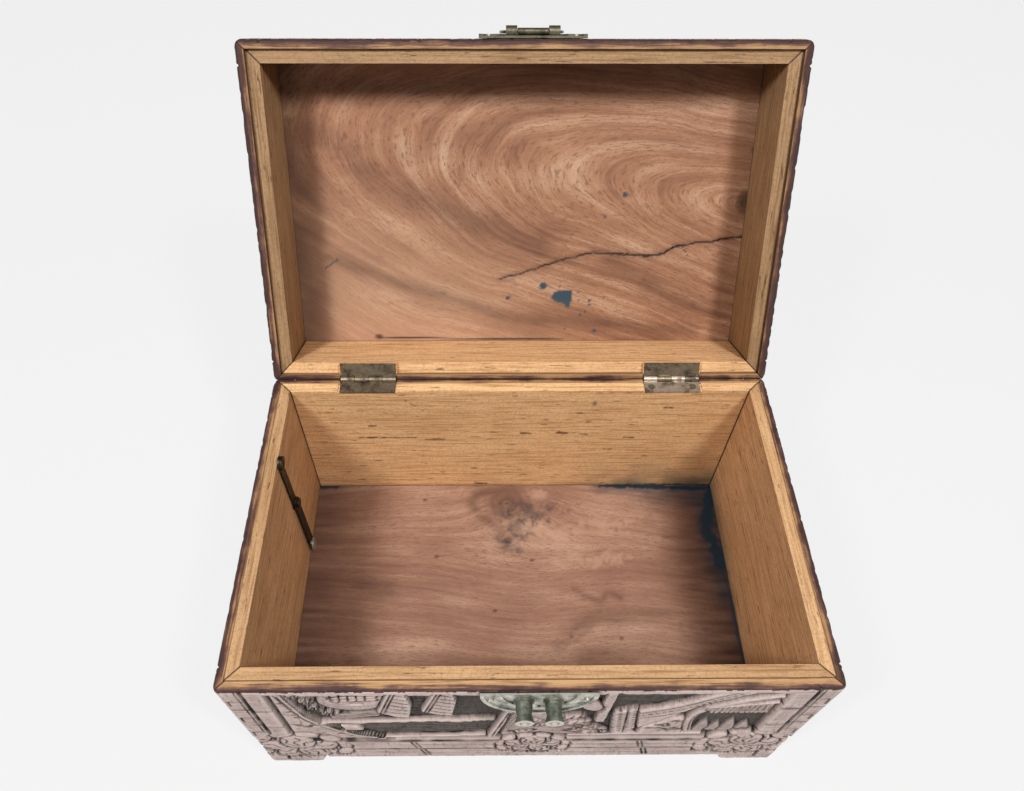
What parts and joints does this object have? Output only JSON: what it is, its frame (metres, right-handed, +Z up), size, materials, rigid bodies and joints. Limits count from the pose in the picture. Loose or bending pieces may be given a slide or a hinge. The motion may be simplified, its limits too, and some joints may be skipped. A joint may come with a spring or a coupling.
{
  "type": "carved wooden box",
  "caption": "Carved camphor-wood keepsake box on bracket feet, with a hinged hollow lid held open, a round brass lock plate with padlock posts and hasp, and a jointed lid stay.",
  "frame": {"origin": "middle of the bounding box's floor with the lid standing open, on the ground plane", "axes": "+Z up, -Y towards the front with the lock, +X to the right as seen from the front"},
  "size_m": [0.3, 0.337, 0.296],
  "materials": {
    "carved_wood": "satin varnish",
    "plain_wood": "satin",
    "bamboo": "satin",
    "hinge_brass": "tarnished",
    "lock_brass": "tarnished",
    "dark_iron": "dark oxide",
    "stud_steel": "satin"
  },
  "bodies": {
    "base": {"front_board": "carved_wood", "back_board": "carved_wood", "left_board": "carved_wood", "right_board": "carved_wood", "bottom_board": "plain_wood", "base_corner_pins": "bamboo", "left_hinge_base_leaf": "hinge_brass", "left_hinge_pin": "hinge_brass", "right_hinge_base_leaf": "hinge_brass", "right_hinge_pin": "hinge_brass", "hinge_base_screws": "hinge_brass", "lock_lower_plate": "lock_brass", "lock_post_left": "lock_brass", "lock_post_right": "lock_brass", "lock_lower_nails": "lock_brass", "stay_wall_screw": "dark_iron"},
    "lid": {"lid_front_rail": "carved_wood", "lid_back_rail": "carved_wood", "lid_left_rail": "carved_wood", "lid_right_rail": "carved_wood", "lid_top_board": "carved_wood", "lid_corner_pins": "bamboo", "lid_top_pins": "bamboo", "left_hinge_lid_leaf": "hinge_brass", "right_hinge_lid_leaf": "hinge_brass", "hinge_lid_screws": "hinge_brass", "lock_upper_plate": "lock_brass", "lock_upper_nails": "lock_brass", "hasp_pin": "lock_brass"},
    "hasp": {"hasp": "lock_brass"},
    "stay_upper": {"stay_upper_arm": "dark_iron", "stay_elbow_rivet": "dark_iron"},
    "stay_lower": {"stay_lower_arm": "dark_iron", "stay_end_stud": "stud_steel"}
  },
  "joints": [
    {"name": "lid_hinge", "type": "hinge", "parent": "base", "child": "lid", "pos_m": [0, 0.03134, 0.1278], "axis": [1, 0, 0], "range_deg": [0, 119]},
    {"name": "hasp_hinge", "type": "hinge", "parent": "lid", "child": "hasp", "pos_m": [0.004, 0.12736, 0.29318], "axis": [1, 0, 0], "range_deg": [0, 180]},
    {"name": "stay_wall_pivot", "type": "hinge", "parent": "base", "child": "stay_upper", "pos_m": [-0.1377, -0.02816, 0.1265], "axis": [1, 0, 0], "range_deg": [-110, 15]},
    {"name": "stay_elbow_pivot", "type": "hinge", "parent": "stay_upper", "child": "stay_lower", "pos_m": [-0.1364, -0.02816, 0.082], "axis": [1, 0, 0], "range_deg": [-160, 15]}
  ]
}
